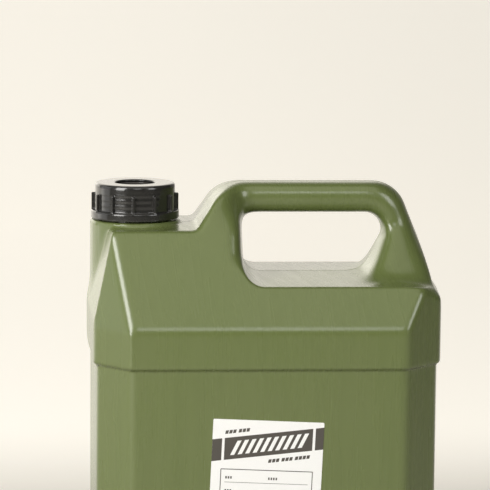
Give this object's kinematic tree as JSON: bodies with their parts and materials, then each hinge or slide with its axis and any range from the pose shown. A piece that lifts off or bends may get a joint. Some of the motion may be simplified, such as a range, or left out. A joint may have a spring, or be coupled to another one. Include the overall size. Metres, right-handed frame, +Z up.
{
  "type": "fuel can",
  "caption": "Upright blow-moulded fuel can with sloping shoulders, an integral carrying handle over a through opening, a screw collar with ribs and a plain front label.",
  "frame": {"origin": "on the floor below the middle of the can's width and depth", "axes": "+Z up, -Y out of the labelled front, +X from the filler towards the handle's strut"},
  "size_m": [0.262, 0.1524, 0.3703],
  "materials": {
    "tank_plastic": "satin olive green polyethylene with faint upright flow streaks",
    "cap_plastic": "semi-gloss black polypropylene",
    "disc_plastic": "gloss black",
    "gasket_rubber": "matt black nitrile rubber",
    "label_paper": "white coated paper with plain dark printing"
  },
  "bodies": {
    "tank": {"tank_shell": "tank_plastic", "label": "label_paper"},
    "closure": {"closure_disc": "disc_plastic", "neck_gasket": "gasket_rubber"},
    "collar": {"screw_collar": "cap_plastic"}
  },
  "joints": [
    {"name": "closure_lift", "type": "slide", "parent": "tank", "child": "closure", "axis": [0, 0, 1], "range_m": [0, 0.0168]},
    {"name": "collar_turn", "type": "hinge", "parent": "closure", "child": "collar", "pos_m": [-0.0957, 0, 0.364], "axis": [0, 0, 1], "range_deg": [0, 1440]}
  ],
  "couplings": [
    {"joint": "closure_lift", "follows": "collar_turn", "m_per_rad": 0.00066845}
  ]
}
